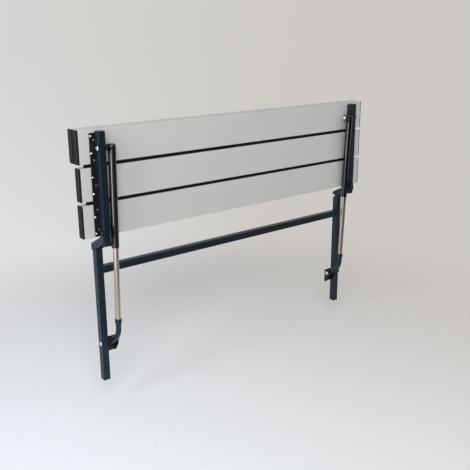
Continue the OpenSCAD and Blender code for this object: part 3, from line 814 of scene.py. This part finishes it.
class ScatterTree:
    """Node tree that sets one pattern on every point, facing the room."""

    SEED = 7
    FACING = math.radians(90)
    INPUTS = {
        "Geometry": "Geometry", "Pattern": "Object", "Finish": "Material", "Random turn": "Float"
    }

    def __init__(self, name: str) -> None:
        """Builds the tree.

        Args:
            name: Name of the node group.
        """
        self.tree = bpy.data.node_groups.new(name, "GeometryNodeTree")
        face, nodes = self.tree.interface, self.tree.nodes
        self.keys: dict[str, str] = {}
        for label, kind in self.INPUTS.items():
            made = face.new_socket(label, in_out="INPUT", socket_type=f"NodeSocket{kind}")
            self.keys[label] = made.identifier
        face.new_socket("Geometry", in_out="OUTPUT", socket_type="NodeSocketGeometry")
        start, end = nodes.new("NodeGroupInput"), nodes.new("NodeGroupOutput")
        info = nodes.new("GeometryNodeObjectInfo")
        spin = nodes.new("FunctionNodeRandomValue")
        spin.data_type = "FLOAT"
        spin.inputs["Seed"].default_value = self.SEED
        aim, axis = nodes.new("ShaderNodeCombineXYZ"), nodes.new("ShaderNodeCombineXYZ")
        aim.inputs["X"].default_value = self.FACING
        copies = nodes.new("GeometryNodeInstanceOnPoints")
        roll = nodes.new("GeometryNodeRotateInstances")
        roll.inputs["Local Space"].default_value = True
        real = nodes.new("GeometryNodeRealizeInstances")
        paint = nodes.new("GeometryNodeSetMaterial")
        for source, out, target, into in (
            (start, "Pattern", info, "Object"),
            (start, "Geometry", copies, "Points"),
            (info, "Geometry", copies, "Instance"),
            (aim, "Vector", copies, "Rotation"),
            (start, "Random turn", spin, 3),
            (spin, 1, axis, "Z"),
            (copies, "Instances", roll, "Instances"),
            (axis, "Vector", roll, "Rotation"),
            (roll, "Instances", real, "Geometry"),
            (real, "Geometry", paint, "Geometry"),
            (start, "Finish", paint, "Material"),
            (paint, "Geometry", end, "Geometry"),
        ):
            self.tree.links.new(source.outputs[out], target.inputs[into])

    def apply(
        self, carrier: Thing, pattern: Thing, material: bpy.types.Material, turn: float = 1.0
    ) -> Thing:
        """Runs the tree on a carrier and keeps the result as a plain mesh.

        Args:
            carrier: Object whose points carry the copies.
            pattern: Object to repeat.
            material: Material of the copies.
            turn: Largest random turn of a copy about its own axis, in radians.

        Returns:
            A new object with the realised mesh and the carrier's name.
        """
        modifier = carrier.modifiers.new("scatter", "NODES")
        modifier.node_group = self.tree
        for label, value in (("Pattern", pattern), ("Finish", material), ("Random turn", turn)):
            modifier[self.keys[label]] = value
        name = carrier.name
        graph = bpy.context.evaluated_depsgraph_get()
        graph.update()
        mesh = bpy.data.meshes.new_from_object(carrier.evaluated_get(graph))
        carrier.modifiers.clear()
        bpy.data.objects.remove(carrier)
        mesh.name = name
        return place_object(name, mesh)


@dataclass
class BracketBolts:
    """Cross bolts of the hinge brackets, two a side.

    Attributes:
        depth_y: Depth of the bolts.
        heights: Heights of the bolts.
        outer: Distance from the arm's centre to the cheeks' outer faces.
        stub: Length of the inboard stub past the cheek.
        shank: Shank's radius.
        chamfer: Width of the chamfer at the stub's end.
    """

    depth_y: float = -0.0995
    heights: Span = (0.365, 0.399)
    outer: float = 0.021
    stub: float = 0.0008
    shank: float = 0.004
    chamfer: float = 0.0004

    def build(self) -> None:
        """Builds the four bolts."""
        shell = Shell()
        length = 2 * self.outer + self.stub
        rings = [
            Ring(self.shank - self.chamfer, 0),
            Ring(self.shank, self.chamfer),
            Ring(self.shank, length),
            *CROSS_HEAD.rings(length),
        ]
        for side in Side:
            out = Vector((side.value, 0, 0))
            for level in self.heights:
                centre = Vector((side.value * TUBE_X, self.depth_y, level))
                shell.stack(rings, axis_matrix(centre - out * (self.outer + self.stub), out))
        made = shell.to_object("bracket_bolt_set")
        DARK_STEEL.dress(made)
        attach(made, Body.LEAF.value, "bracket_bolts")


# Sub-assemblies

FRAME_FINISHES = {
    POWDER_COAT: ("left_upright", "right_upright", "crossbar"),
    BLACK_COAT: ("left_strut_bracket", "right_strut_bracket"),
    BLACK_PLASTIC: ("upright_plugs", "strut_foot_washers", "hinge_caps"),
    BUSH_NYLON: ("strut_foot_spacers", "hinge_washers"),
    SLAT_SKIN: ("wall_rail",),
    CAP_SKIN: ("wall_rail_caps",),
    BRIGHT_STEEL: ("hinge_bolts",),
}
LEAF_FINISHES = {
    SLAT_SKIN: ("outer_slat", "middle_slat", "inner_slat"),
    CAP_SKIN: ("left_slat_caps", "right_slat_caps"),
    STRIP_RUBBER: ("joint_strips",),
    POWDER_COAT: ("left_arm", "right_arm", "left_hinge_bracket", "right_hinge_bracket"),
    BLACK_PLASTIC: ("arm_plugs", "strut_head_washers"),
    BLACK_COAT: ("left_flange", "right_flange"),
    BUSH_NYLON: ("strut_head_spacers",),
}
STRUT_FINISHES = {
    GLOSSY_COAT: ("sleeve_tube", "sleeve_eye"),
    ROD_STEEL: ("rod_tube",),
    BLACK_PLASTIC: ("rod_plug",),
    POWDER_COAT: ("elbow",),
    DARK_STEEL: ("elbow_screw",),
}


@dataclass(frozen=True)
class WeldBead:
    """Rippled bead of weld metal.

    Attributes:
        radius: Mean radius.
        step: Distance between its sections.
        ripple: Change of the radius along it, as a share.
        pace: Turn of the ripple from one section to the next, in radians.
        tip: Radius at its ends, as a share.
        taper: Growth of that share over the whole length.
    """

    radius: float = 0.0016
    step: float = 0.0009
    ripple: float = 0.14
    pace: float = 2.1
    tip: float = 0.35
    taper: float = 3.0

    def lay(self, shell: Shell, start: Vector, end: Vector) -> None:
        """Adds the bead between two points.

        Args:
            shell: Shell to add to.
            start: First point.
            end: Last point.
        """
        steps = max(8, int((end - start).length / self.step))
        widths = []
        for i in range(steps + 1):
            share = min(1.0, self.tip + self.taper * min(i, steps - i) / steps)
            half = self.radius * share * (1 + self.ripple * math.sin(i * self.pace))
            widths.append((half, half))
        shell.sweep([start.lerp(end, i / steps) for i in range(steps + 1)], widths, 10)


@dataclass
class WallFrame:
    """Uprights, crossbar, brackets and the rail on the wall.

    Attributes:
        crossbar_z: Height of the crossbar's centre.
        foot_pivot: Depth and height of the strut's foot pivot.
        clevis_far: Distance of the far clevis face inboard of the tube's centre.
        weld_out: Distance of the weld beads' centres from the upright's side.
        weld_in: Distance of their centres inside the crossbar's edges.
        weld_ends: Depths of their ends.
    """

    crossbar_z: float = 0.210
    foot_pivot: Span = (-0.024, -0.135)
    clevis_far: float = 0.064
    weld_out: float = 0.0006
    weld_in: float = 0.0005
    weld_ends: Span = (-0.003, -0.029)

    def build(self, nodes: dict[str, Thing]) -> None:
        """Dresses the solids and adds the foot bolts and weld beads.

        Args:
            nodes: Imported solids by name.
        """
        dress_all(nodes, FRAME_FINISHES)
        PivotBolts(
            "strut_foot_bolt_set", "strut_foot_bolts", Body.FRAME, self.foot_pivot, self.clevis_far
        ).build()
        shell = Shell()
        inner = TUBE_X - TUBE_HALF - self.weld_out
        for side in Side:
            for edge in (-1, 1):
                level = self.crossbar_z + edge * (TUBE_HALF - self.weld_in)
                ends = [Vector((side.value * inner, depth, level)) for depth in self.weld_ends]
                WeldBead().lay(shell, *ends)
        made = shell.to_object("crossbar_welds", 60)
        POWDER_COAT.dress(made)
        attach(made, Body.FRAME.value)


@dataclass
class TableLeaf:
    """Slats, caps, strips, arms, flanges and hinge brackets.

    Attributes:
        head_pivot: Depth and height of the strut's head pivot.
        eye_in: Distance of the strut eye's inboard face from the arm's centre.
    """

    head_pivot: Span = (-0.103, 0.753)
    eye_in: float = 0.0521

    def build(self, nodes: dict[str, Thing]) -> None:
        """Dresses the solids and adds the fasteners.

        Args:
            nodes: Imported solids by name.
        """
        dress_all(nodes, LEAF_FINISHES)
        FlangeFasteners().build()
        BracketBolts().build()
        PivotBolts(
            "strut_head_bolt_set", "strut_head_bolts", Body.LEAF, self.head_pivot, self.eye_in
        ).build()


@dataclass
class Strut:
    """One telescopic strut: sleeve, rod and bent foot.

    Attributes:
        side: Half of the table that it stands on.
    """

    side: Side

    def build(self, nodes: dict[str, Thing]) -> None:
        """Dresses the solids of this strut."""
        dress_all(nodes, STRUT_FINISHES, self.side.label + "_")


@dataclass
class WingKnob:
    """Moulded wing knob on the front of one arm.

    Attributes:
        side: Half of the table that it sits on.
        arm_x: Distance of its axis from the mid-plane.
        arm_front: Depth of the arm's front face.
        level: Height of its axis.
        stand: Gap between the arm and the hub.
        stud: Radius and length of the stud.
        hub: Hub's radius and height.
        foot: Hub's foot as a share of its radius, and height of the chamfer there.
        profile: Hub's rings above that, as shares of its radius and height.
        dimple: Dimple in its top: share of the radius, and depth.
        reach: Distance of a wing's root and its rounded tip from the axis.
        rise: Height of a wing's root above the foot, and what its tip adds.
        flare: Power by which a wing rises.
        tip: Share of a wing at which its tip starts, and length of the rounding.
        half: Half thickness and half height of a wing.
        spread: Growth of the half height towards the tip.
        waist: Half thickness that the rounding leaves at its middle, as a share.
        skin: Least half thickness and half height, at the very tip.
    """

    side: Side
    arm_x: float = 0.743
    arm_front: float = -0.1155
    level: float = 0.388
    stand: float = 0.001
    stud: Span = (0.003, 0.006)
    hub: Span = (0.0085, 0.016)
    foot: Span = (0.94, 0.0008)
    profile: tuple[Span, ...] = ((0.97, 0.6), (0.9, 0.82), (0.7, 0.96), (0.45, 1), (0.4, 1))
    dimple: Span = (0.36, 0.0012)
    reach: Span = (0.003, 0.0265)
    rise: Span = (0.0065, 0.0075)
    flare: float = 1.4
    tip: Span = (0.72, 0.285)
    half: Span = (0.003, 0.0055)
    spread: float = 0.0005
    waist: float = 0.75
    skin: Span = (0.0002, 0.0003)

    def build(self) -> None:
        """Builds the knob with its hub, stud and two wings."""
        shell = Shell()
        foot = Vector((self.side.value * self.arm_x, self.arm_front - self.stand, self.level))
        radius, height = self.hub
        rings = [
            Ring(self.stud[0], -self.stud[1]),
            Ring(self.stud[0], 0),
            Ring(radius * self.foot[0], 0),
            Ring(radius, self.foot[1]),
            *(Ring(radius * wide, height * high) for wide, high in self.profile),
            Ring(radius * self.dimple[0], height - self.dimple[1]),
        ]
        shell.stack(rings, axis_matrix(foot, Vector((0, -1, 0))), 40)
        for way in (-1, 1):
            self._wing(shell, foot, way)
        label = self.side.label
        made = shell.to_object(f"{label}_knob_body", 40)
        BLACK_PLASTIC.dress(made)
        attach(made, f"{label}_knob", f"{label}_wing_knob")

    def _wing(self, shell: Shell, foot: Vector, way: int, steps: int = 14) -> None:
        """Adds one flared wing.

        Args:
            shell: Shell to add to.
            foot: Centre of the hub's foot.
            way: 1 for the upper wing, -1 for the lower one.
            steps: Number of sections, less one.
        """
        path, widths = [], []
        for i in range(steps + 1):
            share = i / steps
            out = self.reach[0] + (self.reach[1] - self.reach[0]) * share
            rise = self.rise[0] + self.rise[1] * share**self.flare
            path.append(foot + Vector((0, -rise, way * out)))
            past = max(0.0, (share - self.tip[0]) / self.tip[1])
            end = math.sqrt(max(0.0, 1 - past**2))
            thick = self.half[0] * (self.waist + (1 - self.waist) * end) * end
            high = (self.half[1] + self.spread * share) * end
            widths.append((thick + self.skin[0], high + self.skin[1]))
        shell.sweep(path, widths, 24)


# Scene


@dataclass
class PhotoCamera:
    """Camera at the photograph's viewpoint.

    Attributes:
        place: Its position.
        yaw: Heading, turned from +Y towards +X, in degrees.
        pitch: Tilt downwards, in degrees.
        roll: Turn about the view direction, in radians.
        lens: Focal length in millimetres.
        sensor: Sensor's width in millimetres.
        clip: Nearest and furthest distance that it shows.
    """

    place: Place = (-2.0950, -2.6182, 1.2198)
    yaw: float = 39.01
    pitch: float = 16.63
    roll: float = -0.00631
    lens: float = 53.53
    sensor: float = 36.0
    clip: Span = (0.05, 60.0)

    def build(self) -> None:
        """Makes the camera and gives it to the scene."""
        yaw, pitch = math.radians(self.yaw), math.radians(self.pitch)
        ahead = Vector(
            (math.sin(yaw) * math.cos(pitch), math.cos(yaw) * math.cos(pitch), -math.sin(pitch))
        )
        right = Vector((math.cos(yaw), -math.sin(yaw), 0))
        up = right.cross(ahead)
        turned_right = right * math.cos(self.roll) + up * math.sin(self.roll)
        turned_up = up * math.cos(self.roll) - right * math.sin(self.roll)
        data = bpy.data.cameras.new("photo_camera")
        data.sensor_width = self.sensor
        data.lens = self.lens
        data.clip_start, data.clip_end = self.clip
        camera = place_object("photo_camera", data)
        axes = Matrix((turned_right, turned_up, -ahead)).transposed()
        camera.matrix_world = Matrix.Translation(self.place) @ axes.to_4x4()
        bpy.context.scene.camera = camera


@dataclass(frozen=True)
class Lamp:
    """Soft rectangular lamp.

    Attributes:
        name: Object name.
        place: Its position.
        target: Point that it faces.
        size: Width and height.
        power: Power in watts.
        colour: Linear colour.
    """

    name: str
    place: Place
    target: Place
    size: Span
    power: float
    colour: Colour

    def build(self) -> None:
        """Hangs the lamp."""
        data = bpy.data.lights.new(self.name, "AREA")
        data.shape = "RECTANGLE"
        data.size, data.size_y = self.size
        data.energy = self.power
        data.color = self.colour
        lamp = place_object(self.name, data)
        lamp.location = self.place
        ahead = Vector(self.target) - Vector(self.place)
        lamp.rotation_euler = ahead.to_track_quat("-Z", "Y").to_euler()


@dataclass(frozen=True)
class Card:
    """Soft card that only reflections see, to shape the gloss of the tubes.

    Attributes:
        name: Object name.
        middle: Centre of the card.
        size: Width and height.
        heading: Direction that the card faces, turned from +Y towards +X, in degrees.
        tone: Linear colour at its middle.
        rim: Linear colour at its ends.
        fade: Distances from the middle where the fade starts and ends, as shares of the width.
    """

    name: str
    middle: Place
    size: Span
    heading: float
    tone: Colour
    rim: Colour
    fade: Span = (0.22, 0.5)

    def build(self) -> None:
        """Hangs the card."""
        turn = math.radians(self.heading)
        across = Vector((math.cos(turn), -math.sin(turn), 0))
        middle, wide = Vector(self.middle), across * self.size[0] / 2
        up = Vector((0, 0, self.size[1] / 2))
        corners = [middle + wide * a + up * b for a, b in ((-1, -1), (1, -1), (1, 1), (-1, 1))]
        mesh = bpy.data.meshes.new(self.name)
        mesh.from_pydata([tuple(c) for c in corners], [], [(0, 1, 2, 3)])
        paint, board = new_material(self.name)
        away = board.vector("SUBTRACT", board.coords(), self.middle)["Vector"]
        along = board.vector("DOT_PRODUCT", away, across)["Value"]
        ends = scaled(self.fade, self.size[0])
        fade = board.ranged(board.calc("ABSOLUTE", along), ends, eased=True)
        board.close(board.glow(board.mix(fade, self.tone, self.rim)))
        mesh.materials.append(paint)
        card = place_object(self.name, mesh)
        for ray in ("camera", "diffuse", "shadow", "transmission"):
            setattr(card, f"visible_{ray}", False)


SIDE_RIM: Colour = (0.4, 0.37, 0.35)
"""Tone at the ends of the cards on the left."""


@dataclass
class Studio:
    """Pale floor and pale surroundings, with painted light falling off from left to right, soft
    lamps and reflection cards.

    Attributes:
        floor_z: Height of the floor.
        floor_wide: Radius of the floor.
        floor_thick: Thickness of the floor.
        floor_gloss: Roughness of the floor.
        floor_shine: Strength of its plain reflection, 0 so that low views don't clip.
        floor_light_falloff_tones: Its colours on the left and on the right.
        floor_turn: X where that change starts and ends.
        speckle: Features per metre and octaves of the floor's speckle.
        speckle_dim: Brightness of its dark spots, as a share.
        fade: Distances from the origin over which the floor fades into the surroundings.
        backdrop_light_falloff_tones: Colours of the surroundings on the left and on the right.
        turn: X of the direction where that change starts and ends.
        light: Colour of the light from all round.
        light_strength: Strength of that light.
        lamps: Lamps.
        cards: Cards that the gloss reflects.
    """

    floor_z: float = -0.446
    floor_wide: float = 40.0
    floor_thick: float = 0.01
    floor_gloss: float = 0.75
    floor_shine: float = 0.0
    # Painted light: the floor is lighter and cool on the left, darker and warm on the right.
    floor_light_falloff_tones: tuple[Colour, Colour] = (srgb(229, 231, 235), srgb(222, 217, 210))
    floor_turn: Span = (-1.6, 2.2)
    speckle: Span = (30, 5)
    speckle_dim: float = 0.975
    fade: Span = (1.0, 2.5)
    # Painted light: the surroundings are lighter and cool on the left, darker and warm on the
    # right.
    backdrop_light_falloff_tones: tuple[Colour, Colour] = (srgb(222, 222, 223), srgb(205, 202, 197))
    turn: Span = (0.05, 0.7)
    light: Colour = (0.97, 0.98, 1.0)
    light_strength: float = 0.6
    lamps: tuple[Lamp, ...] = (
        Lamp("key", (-2.6, -3.2, 2.9), (0, -0.1, 0.4), (2.2, 1.6), 97, (1.0, 0.985, 0.96)),
        Lamp("side", (-3.2, -0.6, 1.4), (-0.4, -0.1, 0.3), (0.9, 2.0), 42, (0.84, 0.93, 1.0)),
        Lamp("fill", (2.8, -3.0, 1.8), (0.3, -0.1, 0.3), (2.0, 2.0), 8, (1.0, 0.96, 0.92)),
    )
    cards: tuple[Card, ...] = (
        Card("light_card", (-2.2, -0.95, 0.51), (0.95, 1.28), 122, (15, 13.2, 12.6), SIDE_RIM),
        Card("rod_card", (-2.2, -0.95, -0.285), (0.95, 0.31), 122, (5.5, 4.9, 4.65), SIDE_RIM),
        Card("dark_card", (1.0, -1.55, 0.55), (4.4, 2.0), 180,
             (0.045, 0.045, 0.04), (0.42, 0.38, 0.34)),
        Card("low_card", (0.95, -0.85, -0.2), (3.2, 0.48), 180,
             (0.2, 0.18, 0.16), (0.42, 0.385, 0.35)),
    )

    def build(self) -> None:
        """Builds floor, world, lamps and cards."""
        bpy.context.scene.view_settings.view_transform = "Standard"
        self._floor()
        self._world()
        for thing in (*self.lamps, *self.cards):
            thing.build()

    def _surroundings(self, board: NodeBoard, direction: Socket) -> Socket:
        """Colour of the surroundings in a direction, with painted light: lighter and cool on the
        left, darker and warm on the right.
        """
        across = board.axis(board.vector("NORMALIZE", direction)["Vector"], "X")
        return board.mix(board.ranged(across, self.turn), *self.backdrop_light_falloff_tones)

    def _floor(self) -> None:
        """Lays a pale floor that fades into the surroundings."""
        shell = Shell()
        levels = (self.floor_z - self.floor_thick, self.floor_z)
        shell.stack([Ring(self.floor_wide, z) for z in levels], Matrix.Identity(4), 96)
        floor = shell.to_object("floor")
        made, board = new_material("pale_floor")
        inputs = {"Roughness": self.floor_gloss, "Specular IOR Level": self.floor_shine}
        near = board.add("BsdfPrincipled", inputs | {"Base Color": self._floor_colour(board)})[0]
        # The far floor glows in the surroundings' colour, painted light falloff included.
        far = board.glow(self._surroundings(board, board.coords()))
        away = board.vector("LENGTH", board.coords())["Value"]
        board.close(board.blend(board.ranged(away, self.fade, eased=True), near, far))
        floor.data.materials.append(made)

    def _floor_colour(self, board: NodeBoard) -> Socket:
        """Colour of the floor, with painted light: lighter and cool on the left, darker and warm on
        the right, with a faint speckle.

        Args:
            board: Board to add to.

        Returns:
            The colour.
        """
        speckle = board.tint(board.noise(*self.speckle), (self.speckle_dim,) * 3, (1, 1, 1))
        across = board.ranged(board.axis(board.coords(), "X"), self.floor_turn, eased=True)
        ground = board.mix(across, *self.floor_light_falloff_tones)
        return board.mix(1.0, ground, speckle, "MULTIPLY")

    def _world(self) -> None:
        """Makes surroundings that look pale, with a painted light falloff from left to right, and
        light the part softly.
        """
        world = bpy.data.worlds.new("studio")
        bpy.context.scene.world = world
        world.use_nodes = True
        board = NodeBoard(world.node_tree)
        around = self._surroundings(board, board.coords("Generated"))
        seen = board.add("Background", {"Color": around})[0]
        lit = board.add("Background", {"Color": self.light, "Strength": self.light_strength})[0]
        rays = board.add("LightPath", {})
        plain = board.calc("MAXIMUM", rays["Is Camera Ray"], rays["Is Glossy Ray"])
        plain = board.calc("MAXIMUM", plain, rays["Is Transmission Ray"])
        board.close(board.blend(plain, lit, seen), "OutputWorld")


def main() -> None:
    """Builds the whole scene."""
    logging.basicConfig(level=logging.INFO, format="%(name)s: %(message)s")
    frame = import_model()
    nodes = frame["nodes"]
    PhotoCamera().build()
    Studio().build()
    WallFrame().build(nodes)
    TableLeaf().build(nodes)
    for side in Side:
        Strut(side).build(nodes)
        WingKnob(side).build()


if __name__ == "__main__":
    main()
